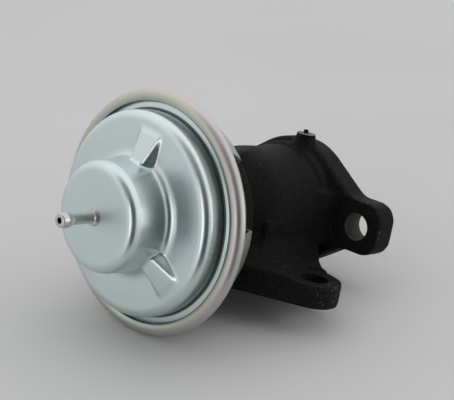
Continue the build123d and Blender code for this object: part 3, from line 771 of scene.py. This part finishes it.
def light_room():
    """A pale room, brighter overhead, with two dim places and a shade, two lamps and a backdrop.

    way is the direction of a ray. dim and far are patches at eye level, ahead on the right and
    behind on the right; shade is a patch high in front. The camera itself sees only the backdrop.
    """
    world = bpy.data.worlds.new("room")
    bpy.context.scene.world = world
    world.use_nodes = True
    tree = world.node_tree
    tree.nodes.clear()

    def node(kind, **settings):
        made = tree.nodes.new(kind)
        for key, value in settings.items():
            setattr(made, key, value)
        return made

    def along(direction):
        dot = node("ShaderNodeVectorMath", operation="DOT_PRODUCT")
        tree.links.new(way, dot.inputs[0])
        dot.inputs[1].default_value = direction
        return dot.outputs["Value"]

    def fade(value, start, end):
        ease = node("ShaderNodeMapRange", interpolation_type="SMOOTHSTEP")
        tree.links.new(value, ease.inputs["Value"])
        ease.inputs["From Min"].default_value = start
        ease.inputs["From Max"].default_value = end
        return ease.outputs["Result"]

    def times(a, b):
        product = node("ShaderNodeMath", operation="MULTIPLY")
        tree.links.new(a, product.inputs[0])
        tree.links.new(b, product.inputs[1])
        return product.outputs[0]

    def size_of(value):
        made = node("ShaderNodeMath", operation="ABSOLUTE")
        tree.links.new(value, made.inputs[0])
        return made.outputs[0]

    def blend(fac, a, b):
        mix = node("ShaderNodeMix", data_type="RGBA")
        tree.links.new(fac, mix.inputs[0])
        for socket, value in ((mix.inputs[6], a), (mix.inputs[7], b)):
            if isinstance(value, bpy.types.NodeSocket):
                tree.links.new(value, socket)
            else:
                socket.default_value = value
        return mix.outputs[2]

    way = node("ShaderNodeTexCoord").outputs["Generated"]
    aside = size_of(along((0.574, 0.819, 0.0)))
    ahead = along((0.819, -0.574, 0.0))
    height = size_of(along((0.0, 0.0, 1.0)))
    level = fade(height, 0.8, 0.5)
    dim = times(times(fade(aside, 0.5, 0.3), fade(ahead, 0.2, 0.5)), level)
    far = times(fade(along((0.17, 0.985, 0.0)), 0.8, 0.96), level)
    shade = fade(along((0.35, -0.7, 0.62)), 0.72, 0.92)
    sky = blend(fade(along((0.0, 0.0, 1.0)), -0.2, 0.9), ROOM_LOW, ROOM_HIGH)
    room = blend(shade, sky, ROOM_SHADE)
    lit = node("ShaderNodeBackground")
    tree.links.new(blend(dim, blend(far, room, ROOM_FAR), ROOM_DIM), lit.inputs["Color"])
    seen = node("ShaderNodeBackground")
    seen.inputs["Color"].default_value = BACKDROP
    sort = node("ShaderNodeMixShader")
    tree.links.new(node("ShaderNodeLightPath").outputs["Is Camera Ray"], sort.inputs[0])
    tree.links.new(lit.outputs[0], sort.inputs[1])
    tree.links.new(seen.outputs[0], sort.inputs[2])
    tree.links.new(sort.outputs[0], node("ShaderNodeOutputWorld").inputs["Surface"])
    for name, place, aim, size, power in LAMPS:
        lamp = bpy.data.lights.new(name, "AREA")
        lamp.shape = "RECTANGLE"
        lamp.size, lamp.size_y = size
        lamp.energy = power
        holder = bpy.data.objects.new(name, lamp)
        bpy.context.collection.objects.link(holder)
        toward = Vector(aim) - Vector(place)
        turned = toward.to_track_quat("-Z", "Y").to_matrix().to_4x4()
        holder.matrix_world = Matrix.Translation(place) @ turned


def set_camera():
    """Looks back along the stem from the front right, a little above it."""
    camera = bpy.data.cameras.new("camera")
    camera.sensor_width = 36.0
    camera.sensor_fit = "HORIZONTAL"
    camera.lens = CAMERA_LENS
    camera.clip_start = 0.01
    holder = bpy.data.objects.new("camera", camera)
    bpy.context.collection.objects.link(holder)
    holder.matrix_world = Matrix(CAMERA_MATRIX)
    bpy.context.scene.camera = holder


CAMERA_LENS = 87.54
CAMERA_MATRIX = (
    (0.72175, -0.28754, 0.62960, 0.22821),
    (0.66914, 0.05727, -0.74093, -0.30780),
    (0.17699, 0.95605, 0.23374, 0.08660),
    (0.0, 0.0, 0.0, 1.0),
)
FLOOR_COLOUR = rgb(0.645, 0.65, 0.65)
FLOOR_PALER = rgb(0.675, 0.68, 0.68)
ROOM_LOW = rgb(0.70, 0.71, 0.72)
ROOM_HIGH = rgb(1.10, 1.10, 1.09)
ROOM_SHADE = rgb(0.30, 0.30, 0.30)
ROOM_DIM = rgb(0.05, 0.05, 0.055)
ROOM_FAR = rgb(0.16, 0.18, 0.19)
BACKDROP = rgb(0.555, 0.555, 0.55)
# each lamp: name, place, aim, size and power
LAMPS = (
    ("right_lamp", (0.56, 0.36, 0.05), (0.0, -0.08, 0.0), (0.36, 0.6), 0.55),
    ("front_lamp", (0.19, -0.78, 0.0), (0.0, -0.08, 0.0), (0.12, 0.5), 0.4),
)
lay_floor()
light_room()
set_camera()

bpy.context.scene.view_settings.view_transform = "Standard"
